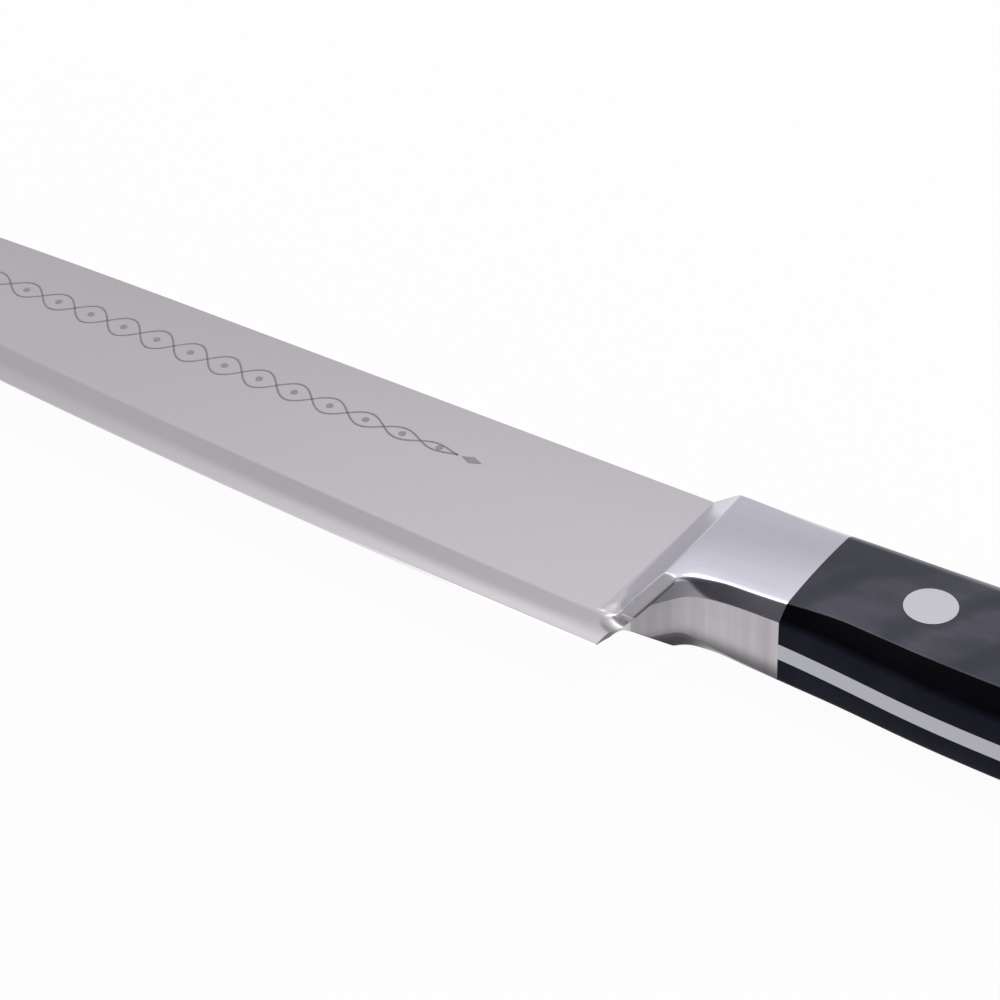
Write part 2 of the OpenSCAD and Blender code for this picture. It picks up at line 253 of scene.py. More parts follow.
def half_section(x, corner_n, side_n, brow_reach, foot_reach):
    """Left half of the handle's section at x, from the spine round to the belly.

    Also gives, for each point, 0 on the broad side, 1 on the corner and 2 underneath.
    """
    top, belly, crease = top_y(x), belly_y(x), side_z(x) - SIDE_CROWN
    shrink = min(1.0, (top - belly) / 16)
    high = top - curve(TOP_CORNER_KNOTS, x) * shrink
    low = belly + curve(BELLY_CORNER_KNOTS, x) * shrink
    t = np.linspace(0, 1, corner_n)
    upper = np.stack((bow(top, top - 0.3, high, t), bow(crease * 0.35, crease * 0.82, crease, t)), 1)
    rise = np.array([(top, z) for z in np.linspace(HALF_STOCK, crease * 0.35, 5)[:-1]])

    u = np.linspace(0, 1, side_n)
    side = np.stack((high + (low - high) * u, crease + SIDE_CROWN * (1 - (2 * u - 1) ** 2)), 1)
    foot = np.array((belly + curve(ROUND_KNOTS, x) * shrink, crease * curve(UNDER_KNOTS, x)))
    brow = np.array((low, crease))
    across = brow - foot
    swell = curve(SWELL_KNOTS, x) * np.array((-across[1], across[0])) / np.linalg.norm(across)
    middle = (foot + brow) / 2 + swell
    corner = np.array([bow(brow, middle, foot, t) for t in np.linspace(0, 1, 3 * corner_n)])
    knee = np.array((belly, (HALF_STOCK + foot[1]) / 2))
    under = np.array([bow(foot, knee, np.array((belly, HALF_STOCK)), t) for t in np.linspace(0, 1, 24)])
    lower, zones = eased((side, corner, under), (side_n, corner_n, 12), (brow_reach, foot_reach))
    points = np.concatenate((rise, upper[:-1], lower))
    return points, np.concatenate((np.zeros(len(points) - len(lower)), zones))


def in_scene(name, data):
    """A new object in the scene with this mesh, lamp or camera."""
    thing = bpy.data.objects.new(name, data)
    bpy.context.collection.objects.link(thing)
    return thing


def write_marks(mesh, marks):
    """Keeps a number for each point under each label, for the finishes to read."""
    for label, values in marks:
        layer = mesh.attributes.new(label, "FLOAT", "POINT")
        layer.data.foreach_set("value", np.asarray(values, dtype=np.float32))


def shade(mesh, sharp):
    mesh.shade_smooth()
    mesh.set_sharp_from_angle(angle=math.radians(sharp))


def make_mesh(name, points, faces, sharp=30.0, marks=()):
    """A mesh from points in the knife's own frame in mm, with smooth faces up to the sharp angle."""
    mesh = bpy.data.meshes.new(name)
    mesh.from_pydata(((np.asarray(points) + KNIFE_AT) / 1000).tolist(), [], faces)
    write_marks(mesh, marks)
    mesh.validate()
    work = bmesh.new()
    work.from_mesh(mesh)
    bmesh.ops.remove_doubles(work, verts=work.verts, dist=1e-7)
    bmesh.ops.dissolve_degenerate(work, edges=work.edges, dist=1e-8)
    bmesh.ops.recalc_face_normals(work, faces=work.faces)
    work.to_mesh(mesh)
    work.free()
    shade(mesh, sharp)
    return in_scene(name, mesh)


def loft_faces(rows, count):
    """Quads round a closed loft of rows with count points each, and its two end caps."""
    faces = []
    for i in range(rows - 1):
        for j in range(count):
            k = (j + 1) % count
            faces.append((i * count + j, i * count + k, (i + 1) * count + k, (i + 1) * count + j))
    faces.append(tuple(range(count))[::-1])
    faces.append(tuple((rows - 1) * count + j for j in range(count)))
    return faces


def lathe(name, profile, x, segments=64):
    """A closed turned solid about the rivet line at x, from a profile of (radius, height)."""
    points, faces = [], []
    for r, z in profile:
        for k in range(segments):
            a = 2 * math.pi * k / segments
            points.append((x + r * math.cos(a), r * math.sin(a), z))
    for i in range(len(profile) - 1):
        for k in range(segments):
            n = (k + 1) % segments
            faces.append((i * segments + k, i * segments + n,
                          (i + 1) * segments + n, (i + 1) * segments + k))
    faces.append(tuple(range(segments))[::-1])
    faces.append(tuple((len(profile) - 1) * segments + k for k in range(segments)))
    return make_mesh(name, points, faces)


def cut_away(piece, cutters, sharp):
    """Takes the cutters out of the piece and leaves a plain mesh."""
    for cutter in cutters:
        modifier = piece.modifiers.new("cut", "BOOLEAN")
        modifier.operation, modifier.solver, modifier.object = "DIFFERENCE", "EXACT", cutter
    evaluated = piece.evaluated_get(bpy.context.evaluated_depsgraph_get())
    mesh = bpy.data.meshes.new_from_object(evaluated)
    piece.modifiers.clear()
    piece.data = mesh
    shade(mesh, sharp)
    for cutter in cutters:
        bpy.data.objects.remove(cutter)


def under_y(x):
    """Lower outline of the steel: the heel's end face, the choil and the belly."""
    if x >= FOOT[0]:
        return belly_y(x)
    t = math.sqrt(max(0.0, (x - HEEL_X) / (FOOT[0] - HEEL_X)))
    return bow(EDGE_Y, EDGE_Y + 4, FOOT[1], t)


def band_z(x, y, edge, band_h):
    """Height of the ground band and the hone bevel at y, above the edge line."""
    grind, hone = edge + band_h, edge + HONED_H
    z = flat_z(x, grind)
    pitch = (z - HONED_T / 2) / (band_h - HONED_H)
    t = (y - hone) / (band_h - HONED_H)
    band = HONED_T / 2 + pitch * (y - hone) + 4 * BAND_BELLY * t * (1 - t)
    return np.minimum(band, THIN + (y - edge) * HONED_T / 2 / HONED_H)


def band_painted_shade(x, above, band_h):
    """Painted shade on the ground band: how much of the flat's brightness it keeps, from its grind line to
    the edge.
    """
    start = 0.72 + 0.17 * smooth_step(-x, 60, 150)
    down = np.clip((band_h - above) / (band_h - HONED_H), 0, 1)
    wanted = start + (1.03 - start) * smooth_step(down, 0.42, 0.85)
    # Painted shade: a thin dark line just above the hone bevel, only towards the heel.
    painted_dark_line = 0.12 * np.exp(-((above - HONED_H - 0.15) / 0.1) ** 2) * smooth_step(x, -80, -40)
    return wanted / (1.1 + 0.2 * down) - painted_dark_line


def flat_painted_shade(x, y):
    """Painted shade on the flat: its brightness a little less towards the point and the spine."""
    return 1 - 0.1 * smooth_step(-x, 20, 150) - 0.03 * smooth_step(y, -2, 12)


def facet_share(x, y, z):
    """How far a point of the ground steel lies on the heel facet or the slope, and on their border, which
    carries a painted highlight; both shares also carry a painted highlight spot at the heel's foot.
    """
    # Painted highlight: a light spot at the foot of the heel facet.
    spot = math.exp(-((x - PAINTED_GLINT[0]) ** 2 + (y - PAINTED_GLINT[1]) ** 2) / 1.1) if z > 0 else 0.0
    if x < FRONT_X or y < FACET_Y + FACET_DROP:
        return spot, 1.7 * spot
    slope = float(slope_z(x, y))
    gap = slope - facet_z(y)
    reach = 0.3 if y < FACET_Y + 2 else 0.12
    on_facet = math.exp(-((z - facet_z(y)) / reach) ** 2) * float(smooth_step(gap, -0.05, 0.15))
    on_slope = math.exp(-((z - slope) / 0.12) ** 2) * float(smooth_step(-gap, -0.05, 0.15))
    ground = math.exp(-((z - min(slope, facet_z(y))) / 0.15) ** 2)
    border = math.exp(-(gap / 0.22) ** 2) * ground
    return max(on_facet + 0.04 * on_slope, spot), max(border, 1.7 * spot)


def butt_rows(count):
    """Places along the butt, closer together towards its end."""
    return GRIP_L - BUTT_R + BUTT_R * np.sin(np.linspace(0, math.pi / 2, count))


def make_blade():
    """The steel in one loft: rings from the point to the butt, with the rivet holes cut out."""
    blade_rows = np.linspace(0, 1, 110)[:-1] ** 1.5
    xs = np.concatenate((TIP_X + TIP_CUT + (BLADE_L - HEEL_ROWS_L - TIP_CUT) * blade_rows,
                         np.linspace(HEEL_X - HEEL_ROWS_L, HEEL_X, 70)[:-1],
                         HEEL_X + CHOIL_IN * np.linspace(0, 1, 30)[:-1] ** 2,
                         np.linspace(FOOT[0], -14, 60)[:-1],
                         np.linspace(-14, GRIP_L - BUTT_R, 70)[:-1], butt_rows(20)))
    points, painted_shades, coarse, honed, under = [], [], [], [], []
    fractions = None
    for x in xs:
        u = (HEEL_X - x) / BLADE_L
        if u > 0:
            top, low = blade_spine(u), blade_edge(u)
            tall, edge = top - low, low
            band_h = min(curve(BAND_KNOTS, x), tall * 0.6)
            fit = min(1, tall / 4)
            hone_h, soft = HONED_H * fit, 0.5 * fit
            grind = low + band_h
            middle = grind + soft + (top - grind - soft) * 0.1
            down = np.concatenate((np.linspace(top, middle, 24), np.linspace(middle, grind + soft, 26)[1:],
                                   np.linspace(grind + soft, grind - soft, 12)[1:],
                                   np.linspace(grind - soft, low + hone_h + 0.2 * fit, 22)[1:],
                                   low + hone_h + fit * np.array((0.1, 0.05, 0, -0.05, -0.1)),
                                   low + (hone_h - 0.1 * fit) * np.linspace(1, 0, 4)[1:]))
            fractions = (top - down) / tall
        else:
            top, low, edge = top_y(x), under_y(x), EDGE_Y
            down = top - (top - low) * fractions
            band_h = curve(BAND_KNOTS, x)
        z = np.minimum(HALF_STOCK, ground_z(x, down) if x < -12 else HALF_STOCK + 0 * down)
        above = down - edge
        on_band = above < band_h + 0.6 if x < FOOT[0] else np.zeros(len(down), bool)
        z = np.where(on_band, soft_min(z, band_z(x, down, edge, band_h), 0.04), z)
        z = np.maximum(z * heel_thin(x, down) if x < FOOT[0] + 1 else z, THIN)
        points += [(x, y, h) for y, h in zip(down, z)] + [(x, y, -h) for y, h in zip(down, z)][::-1]
        on = (1 - smooth_step(above, band_h - 0.45, band_h + 0.45)) * (1 if x < FOOT[0] else 0)
        # Painted shade: the flat's and the band's darkening, kept as a mark that scales the steel's colour
        # down.
        painted_shade = flat_painted_shade(x, down) * (1 + on * (band_painted_shade(x, above, band_h) - 1))
        shares = [facet_share(x, y, h) if x < 0 else (0, 0) for y, h in zip(down, z)]
        rough, border = [np.array([f[k] for f in shares]) for k in (0, 1)]
        # Painted shade on the heel's end face, darkest at the heel.
        if HEEL_X <= x < FOOT[0]:
            painted_shade[-1] = 0.32 + 0.45 * float(smooth_step(x, HEEL_X + 0.2, FOOT[0]))
        # Painted highlight: a light line along the hone bevel near the heel, and a light line along the
        # facet's border.
        hone = np.clip((HONED_H - above) / 0.05 + 0.5, 0, 1) * float(smooth_step(x, -76, -31))
        hone = np.maximum(hone * (x < HEEL_X + 0.3), 0.5 * border)
        last = np.arange(len(down)) == len(down) - 1
        below = np.where(last, 1.0 if x > FOOT[0] else 0.0, 0.0)
        # Painted shade: the steel's underside darker towards the heel.
        if x > FOOT[0]:
            painted_shade = np.where(last, 1 - 0.3 * smooth_step(-x, 12, 20), painted_shade)
            rough = np.where(last, 0, rough)
            hone = np.where(last, 0, hone)
        for held, values in ((painted_shades, painted_shade), (coarse, rough), (honed, hone), (under, below)):
            held += list(values) + list(values[::-1])
    count = len(points) // len(xs)
    piece = make_mesh("blade_steel", points, loft_faces(len(xs), count), 24,
                      (("painted_shade", painted_shades), ("coarse", coarse), ("honed", honed), ("under", under)))
    cutters = [lathe("hole", ((TUBE_R + RIVET_FIT, -3), (TUBE_R + RIVET_FIT, 3)), x) for x in RIVET_X]
    cut_away(piece, cutters, 24)
    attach(piece, "root")
    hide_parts("blade")
    return piece


def make_cheek(name, node, side):
    """A bolster cheek: the handle's own section, cut down to the wheel's slope and facet."""
    stops = (FRONT_X - 0.2, FOOT[0], -17, -12)
    xs = np.concatenate([np.linspace(a, b, 44)[:-1] for a, b in zip(stops, stops[1:])]
                        + [np.linspace(-12, 0, 32)])
    points, painted_shades, coarse, painted_highlight, under = [], [], [], [], []
    for x in xs:
        wide = 1.3 * float(smooth_step(-x, 10, 15))
        section, zones = half_section(x, 24, 170, (1.3 + wide, 0.5 + 0.2 * wide), (0.12, 0.12))
        y, z = section[:, 0], section[:, 1]
        cut = ground_z(x, y) if x < -10 else z + 9
        height = soft_min(z, cut, 0.22)
        points += [(x, a, b) for a, b in zip(y, height)]
        shares = [facet_share(x, a, b) for a, b in zip(y, height)]
        # Painted shade: the corner between side and underneath darkened, most towards the throat, and the
        # underneath darker near the throat.
        dark = 0.72 - 0.3 * float(smooth_step(x, -19, -11)) - 0.27 * float(smooth_step(x, -11, -3))
        painted_shade = 1 - dark * smooth_step(zones, 0.5, 1) * (1 - smooth_step(zones, 1.2, 2))
        painted_shade = painted_shade * (1 - 0.3 * float(smooth_step(-x, 12, 20)) * smooth_step(zones, 1.2, 2))
        off_facet = 1 - np.clip([f[0] for f in shares], 0, 1)
        # Painted shade along the slope's run-out, off the facet.
        painted_shade = painted_shade * (1 - 0.35 * np.clip(run_out(x, y), 0, 1) * off_facet * (zones < 0.5))
        # Painted shade: the right cheek's corner darker still.
        if side < 0:
            painted_shade = painted_shade * (1 - 0.7 * smooth_step(z, 1.5, 5) * smooth_step(zones, 0.5, 1))
        # Painted shade: a dark line where the corner meets the ground slope.
        painted_rim_shade = np.exp(-((z - cut) / 0.13) ** 2) * smooth_step(zones, 0.5, 1) if x < -10 else 0 * z
        painted_shades += list(painted_shade * (1 - 0.85 * painted_rim_shade))
        coarse += [f[0] for f in shares]
        # Painted highlight on the facet's border and a light spot at the heel's foot.
        painted_highlight += [0.5 * f[1] for f in shares]
        under += list(np.clip(zones - 1, 0, 1))
    count = len(section)
    faces = []
    for i in range(len(xs) - 1):
        for j in range(count - 1):
            a = i * count + j
            faces.append((a, a + count, a + count + 1, a + 1))
    faces.append(tuple((len(xs) - 1) * count + j for j in range(count)))
    mesh = bpy.data.meshes.new(name)
    mesh.from_pydata(points, [], faces)
    write_marks(mesh, (("painted_shade", painted_shades), ("coarse", coarse), ("honed", painted_highlight), ("under", under)))
    work = bmesh.new()
    work.from_mesh(mesh)
    geometry = work.verts[:] + work.edges[:] + work.faces[:]
    bmesh.ops.bisect_plane(work, geom=geometry, dist=1e-4, plane_co=(0, 0, HALF_STOCK),
                           plane_no=(0, 0, 1), clear_inner=True)
    open_edges = [e for e in work.edges if e.is_boundary]
    bmesh.ops.holes_fill(work, edges=open_edges, sides=0)
    bmesh.ops.remove_doubles(work, verts=work.verts, dist=1e-4)
    bmesh.ops.dissolve_degenerate(work, edges=work.edges, dist=1e-5)
    bmesh.ops.recalc_face_normals(work, faces=work.faces)
    for v in work.verts:
        v.co = (Vector((v.co.x, v.co.y, v.co.z * side)) + Vector(KNIFE_AT)) / 1000
    if side < 0:
        bmesh.ops.reverse_faces(work, faces=work.faces)
    work.to_mesh(mesh)
    work.free()
    shade(mesh, 22)
    piece = in_scene(name, mesh)
    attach(piece, "root")
    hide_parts(node)
    return piece


def make_scale(name, node, side, flank_finish, belly_finish):
    """A handle scale, buffed on its flank and sanded round the spine and the belly; the flank's much lighter
    colour is a painted sheen, and the near-black spine, corner and belly are painted shade.
    """
    xs = np.concatenate((np.linspace(0, GRIP_L - BUTT_R, 120)[:-1], butt_rows(30)))
    sections = [half_section(x, 20, 40, (0.2, 0.2), (0.7, 0.7)) for x in xs]
    points = [(x, y, z * side) for x, s in zip(xs, sections) for y, z in s[0]]
    faces = loft_faces(len(xs), len(sections[0][0]))
    belly = [s > 0.9 or i < SPINE_ROUND for i, s in enumerate(sections[0][1])]
    under = [float(np.clip(s - 1, 0, 1)) for s in sections[0][1]]
    piece = make_mesh(name, points, faces, 20, (("belly", [float(b) for b in belly] * len(xs)),
                                                ("under", under * len(xs))))
    piece.data.materials.append(flank_finish)
    piece.data.materials.append(belly_finish)
    marks = piece.data.attributes["belly"].data
    for face in piece.data.polygons:
        share = sum(marks[v].value for v in face.vertices) / len(face.vertices)
        face.material_index = 1 if share > 0.5 and abs(face.normal.x) < 0.98 else 0
    cutters = []
    for x in RIVET_X:
        seat = (side_z(x) - HEAD_T - SIDE_CROWN / 12) * side
        profile = ((TUBE_R + RIVET_FIT, 1.0 * side), (TUBE_R + RIVET_FIT, seat),
                   (HEAD_R + RIVET_FIT, seat), (HEAD_R + RIVET_FIT, 12.0 * side))
        cutters.append(lathe("bore", profile, x))
    cut_away(piece, cutters, 20)
    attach(piece, "root")
    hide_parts(node)
    return piece


def node_chain(tree):
    """Short ways to add nodes to a Geometry Nodes tree and to do sums in it."""
    nodes, links = tree.nodes, tree.links

    def add(kind, settings=None, **inputs):
        node = nodes.new(kind)
        for key, value in (settings or {}).items():
            setattr(node, key, value)
        for key, value in inputs.items():
            socket = node.inputs[key.replace("_", " ")]
            if isinstance(value, bpy.types.NodeSocket):
                links.new(value, socket)
            else:
                socket.default_value = value
        return node

    def sum_of(operation, *values):
        node = nodes.new("ShaderNodeMath")
        node.operation = operation
        for socket, value in zip(node.inputs, values):
            if isinstance(value, bpy.types.NodeSocket):
                links.new(value, socket)
            else:
                socket.default_value = value
        return node.outputs[0]

    return add, sum_of, links.new


def etched_twist_tree(finish):
    """A running twist of two lines with a dot in each eye and a lozenge at each end."""
    tree = bpy.data.node_groups.new("etched_twist", "GeometryNodeTree")
    sizes = {}
    for label, value in (("Start", -66.0), ("End", -182.0), ("Height", 1.2), ("Half Width", 2.6),
                         ("Wave Length", 14.5), ("Line Width", 0.34), ("Depth", 0.03), ("Dot Radius", 0.65)):
        socket = tree.interface.new_socket(label, in_out="INPUT", socket_type="NodeSocketFloat")
        socket.default_value = value
        sizes[label] = value
    tree.interface.new_socket("Geometry", in_out="OUTPUT", socket_type="NodeSocketGeometry")
    add, sum_of, link = node_chain(tree)
    given = tree.nodes.new("NodeGroupInput").outputs
    join = add("GeometryNodeJoinGeometry")

    place = add("GeometryNodeInputPosition").outputs[0]
    split = add("ShaderNodeSeparateXYZ", Vector=place).outputs
    along = split["X"]
    span = sum_of("SUBTRACT", given["End"], given["Start"])
    share = sum_of("DIVIDE", sum_of("SUBTRACT", along, given["Start"]), span)
    swell = sum_of("POWER", sum_of("ABSOLUTE", sum_of("SINE", sum_of("MULTIPLY", share, math.pi))), 0.5)
    turn = sum_of("DIVIDE", sum_of("MULTIPLY", sum_of("SUBTRACT", along, given["Start"]), 2 * math.pi),
                  given["Wave Length"])
    wave = sum_of("MULTIPLY", sum_of("SINE", turn), sum_of("MULTIPLY", swell, given["Half Width"]))

    ends = [add("ShaderNodeCombineXYZ", X=given[k], Y=given["Height"]).outputs[0] for k in ("Start", "End")]
    line = add("GeometryNodeCurvePrimitiveLine", Start=ends[0], End=ends[1]).outputs[0]
    fine = add("GeometryNodeResampleCurve", Curve=line, Count=420).outputs[0]
    strip = add("GeometryNodeCurvePrimitiveQuadrilateral",
                Width=given["Line Width"], Height=given["Depth"]).outputs[0]
    for sign in (1.0, -1.0):
        shift = add("ShaderNodeCombineXYZ", Y=sum_of("MULTIPLY", wave, sign)).outputs[0]
        bent = add("GeometryNodeSetPosition", Geometry=fine, Offset=shift).outputs[0]
        level = add("GeometryNodeSetCurveNormal", {"mode": "Z_UP"}, Curve=bent).outputs[0]
        ribbon = add("GeometryNodeCurveToMesh", Curve=level, Profile_Curve=strip, Fill_Caps=True).outputs[0]
        link(ribbon, join.inputs[0])

    eyes = sum_of("FLOOR", sum_of("DIVIDE", sum_of("ABSOLUTE", span),
                                  sum_of("MULTIPLY", given["Wave Length"], 0.5)))
    half_step = sum_of("MULTIPLY", given["Wave Length"], -0.25)
    first_x = sum_of("ADD", given["Start"], half_step)
    first = add("ShaderNodeCombineXYZ", X=first_x, Y=given["Height"]).outputs[0]
    step = add("ShaderNodeCombineXYZ", X=sum_of("MULTIPLY", half_step, 2)).outputs[0]
    row = add("GeometryNodeMeshLine", Count=eyes, Start_Location=first, Offset=step).outputs[0]
    dot = add("GeometryNodeMeshCylinder", Vertices=14, Radius=given["Dot Radius"],
              Depth=given["Depth"]).outputs[0]
    dots = add("GeometryNodeInstanceOnPoints", Points=row, Instance=dot).outputs[0]
    link(dots, join.inputs[0])

    lozenge = add("GeometryNodeMeshCylinder", Vertices=4, Radius=1.0, Depth=given["Depth"]).outputs[0]
    for end, away in ((ends[0], 2.6), (ends[1], -2.6)):
        spot = add("ShaderNodeVectorMath", {"operation": "ADD"}).outputs[0]
        link(end, spot.node.inputs[0])
        spot.node.inputs[1].default_value = (away, 0, 0)
        placed = add("GeometryNodeTransform", Geometry=lozenge, Translation=spot,
                     Scale=(2.0, 0.9, 1)).outputs[0]
        link(placed, join.inputs[0])

    whole = add("GeometryNodeRealizeInstances", Geometry=join.outputs[0]).outputs[0]
    dressed = add("GeometryNodeSetMaterial", Geometry=whole, Material=finish).outputs[0]
    out = tree.nodes.new("NodeGroupOutput")
    link(dressed, out.inputs[0])
    return tree, sizes


def make_etched_twist(finish):
    """Runs the twist's tree once and lays the lines on the blade's left flat."""
    tree, sizes = etched_twist_tree(finish)
    holder = in_scene("etched_twist", bpy.data.meshes.new("etched_twist"))
    modifier = holder.modifiers.new("twist", "NODES")
    modifier.node_group = tree
    for item in tree.interface.items_tree:
        if item.in_out == "INPUT":
            modifier[item.identifier] = sizes[item.name]
    evaluated = holder.evaluated_get(bpy.context.evaluated_depsgraph_get())
    mesh = bpy.data.meshes.new_from_object(evaluated)
    holder.modifiers.clear()
    holder.data = mesh
    for v in mesh.vertices:
        surface = flat_z(v.co.x, v.co.y)
        v.co = (Vector((v.co.x, v.co.y, v.co.z + surface)) + Vector(KNIFE_AT)) / 1000
    work = bmesh.new()
    work.from_mesh(mesh)
    bmesh.ops.recalc_face_normals(work, faces=work.faces)
    work.to_mesh(mesh)
    work.free()
    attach(holder, "root")
    return holder


def finish_nodes(name):
    """A new material with its Principled shader, and a short way to add nodes."""
    material = bpy.data.materials.new(name)
    material.use_nodes = True
    nodes, links = material.node_tree.nodes, material.node_tree.links
    shader = nodes["Principled BSDF"]

    def add(kind, **values):
        node = nodes.new(kind)
        for key, value in values.items():
            if hasattr(node, key):
                setattr(node, key, value)
            else:
                node.inputs[key.replace("_", " ")].default_value = value
        return node

    return material, shader, add, links.new


def streaks(add, link, scale, stretch, detail=3.0):
    """Fine lines: noise on Object coordinates, drawn out by stretch."""
    place = add("ShaderNodeTexCoord")
    mapping = add("ShaderNodeMapping")
    mapping.inputs["Scale"].default_value = stretch
    noise = add("ShaderNodeTexNoise")
    noise.inputs["Scale"].default_value = scale
    noise.inputs["Detail"].default_value = detail
    link(place.outputs["Object"], mapping.inputs["Vector"])
    link(mapping.outputs["Vector"], noise.inputs["Vector"])
    return noise.outputs["Fac"]


def spread(add, link, value, low, high, start=0.3, stop=0.7):
    node = add("ShaderNodeMapRange")
    node.inputs["From Min"].default_value = start
    node.inputs["From Max"].default_value = stop
    node.inputs["To Min"].default_value = low
    node.inputs["To Max"].default_value = high
    link(value, node.inputs["Value"])
    return node.outputs["Result"]


def mix_colour(add, link, factor, first, second):
    node = add("ShaderNodeMix")
    node.data_type = "RGBA"
    for socket, value in ((node.inputs[6], first), (node.inputs[7], second)):
        if isinstance(value, tuple):
            socket.default_value = value
        else:
            link(value, socket)
    link(factor, node.inputs[0])
    return node.outputs[2]


def mix_value(add, link, factor, first, second):
    node = add("ShaderNodeMix")
    node.data_type = "FLOAT"
    for socket, value in ((node.inputs[2], first), (node.inputs[3], second)):
        if isinstance(value, (int, float)):
            socket.default_value = value
        else:
            link(value, socket)
    link(factor, node.inputs[0])
    return node.outputs[0]


def bump(add, link, shader, height, strength, distance):
    node = add("ShaderNodeBump")
    node.inputs["Strength"].default_value = strength
    node.inputs["Distance"].default_value = distance
    link(height, node.inputs["Height"])
    link(node.outputs["Normal"], shader.inputs["Normal"])


def attribute(add, label):
    return add("ShaderNodeAttribute", attribute_name=label).outputs["Fac"]


def graded(add, link, pattern, first, second):
    """From the first colour to the second, as the pattern goes from its low values to its high ones."""
    return mix_colour(add, link, spread(add, link, pattern, 0, 1), first, second)


BLACK = (0, 0, 0, 1)
COARSE_STEEL, PAINTED_HIGHLIGHT_STEEL = (0.74, 0.72, 0.76, 1), (0.8, 0.79, 0.8, 1)
BELT_DARK, BELT_LIGHT = (0.42, 0.39, 0.42, 1), (0.52, 0.49, 0.52, 1)
TANG_STEEL = (0.433, 0.431, 0.476, 1)


def satin_blade_steel():
    material, shader, add, link = finish_nodes("satin_blade_steel")
    shader.inputs["Metallic"].default_value = 1.0
    lines = streaks(add, link, 2400, (1, 0.012, 0.05), 2)
    belt = streaks(add, link, 520, (1, 1, 0.04))
    cloud = streaks(add, link, 26, (0.6, 1, 1), 2)
    grey = graded(add, link, lines, (0.52, 0.495, 0.535, 1), (0.53, 0.505, 0.545, 1))
    grey = mix_colour(add, link, spread(add, link, cloud, 0, 0.6), grey, (0.54, 0.505, 0.53, 1))
    belted = graded(add, link, belt, BELT_DARK, BELT_LIGHT)
    place = add("ShaderNodeTexCoord")
    split = add("ShaderNodeSeparateXYZ")
    link(place.outputs["Object"], split.inputs[0])
    joint_x = KNIFE_AT[0] / 1000
    in_grip = spread(add, link, split.outputs["X"], 0, 1, joint_x - 0.00025, joint_x + 0.00025)
    belted = mix_colour(add, link, in_grip, belted, TANG_STEEL)
    grey = mix_colour(add, link, attribute(add, "under"), grey, belted)
    # Painted shade: the mark scales the steel's colour down towards black.
    grey = mix_colour(add, link, attribute(add, "painted_shade"), BLACK, grey)
    grey = mix_colour(add, link, attribute(add, "coarse"), grey, COARSE_STEEL)
    # Painted highlight: the mark lightens the colour along the hone near the heel, the facet's border and
    # the heel's foot, and sets a smoother roughness there.
    link(mix_colour(add, link, attribute(add, "honed"), grey, PAINTED_HIGHLIGHT_STEEL), shader.inputs["Base Color"])
    rough = mix_value(add, link, attribute(add, "coarse"), spread(add, link, lines, 0.28, 0.29), 0.6)
    link(mix_value(add, link, attribute(add, "honed"), rough, 0.3), shader.inputs["Roughness"])
    bump(add, link, shader, lines, 0.008, 0.0001)
    return material


def polished_bolster_steel():
    material, shader, add, link = finish_nodes("polished_bolster_steel")
    shader.inputs["Metallic"].default_value = 1.0
    belt = streaks(add, link, 520, (1, 1, 0.04))
    fine = streaks(add, link, 1500, (0.04, 1, 1), 2)
    grey = graded(add, link, fine, (0.545, 0.535, 0.615, 1), (0.56, 0.55, 0.63, 1))
    belted = graded(add, link, belt, BELT_DARK, BELT_LIGHT)
    under = attribute(add, "under")
    grey = mix_colour(add, link, under, grey, belted)
    grey = mix_colour(add, link, attribute(add, "coarse"), grey, COARSE_STEEL)
    # Painted highlight: the mark lightens the colour on the facet's border and at the heel's foot.
    grey = mix_colour(add, link, attribute(add, "honed"), grey, PAINTED_HIGHLIGHT_STEEL)
    # Painted shade: the mark scales the steel's colour down towards black.
    link(mix_colour(add, link, attribute(add, "painted_shade"), BLACK, grey), shader.inputs["Base Color"])
    rough = mix_value(add, link, under, 0.2, spread(add, link, belt, 0.3, 0.4))
    link(mix_value(add, link, attribute(add, "coarse"), rough, 0.6), shader.inputs["Roughness"])
    bump(add, link, shader, belt, 0.03, 0.0001)
    return material


def wood_pattern(add, link):
    """Short strokes of grain along the handle, and soft clouds with a few growth rings in them."""
    strokes = streaks(add, link, 420, (0.3, 1, 1), 4)
    clouds = streaks(add, link, 58, (0.8, 1.3, 1), 3)
    place = add("ShaderNodeTexCoord")
    centre = add("ShaderNodeMapping")
    centre.inputs["Location"].default_value = (-0.135, 0.012, 0)
    centre.inputs["Scale"].default_value = (1, 1.1, 0)
    rings = add("ShaderNodeTexWave", wave_type="RINGS", rings_direction="Z")
    rings.inputs["Scale"].default_value = 26
    rings.inputs["Distortion"].default_value = 5
    rings.inputs["Detail"].default_value = 3
    rings.inputs["Detail Scale"].default_value = 1.2
    link(place.outputs["Object"], centre.inputs["Vector"])
    link(centre.outputs["Vector"], rings.inputs["Vector"])
    arcs = spread(add, link, rings.outputs["Fac"], 0.25, 1, 0.0, 0.5)
    split = add("ShaderNodeSeparateXYZ")
    link(place.outputs["Object"], split.inputs[0])
    across = add("ShaderNodeMath", operation="SUBTRACT")
    link(split.outputs["X"], across.inputs[0])
    link(split.outputs["Y"], across.inputs[1])
    patches = spread(add, link, across.outputs[0], 0.15, 1, 0.079, 0.096)
    for pattern in (arcs, spread(add, link, clouds, 0.3, 1, 0.38, 0.6)):
        product = add("ShaderNodeMath", operation="MULTIPLY")
        link(patches, product.inputs[0])
        link(pattern, product.inputs[1])
        patches = product.outputs[0]
    return strokes, patches


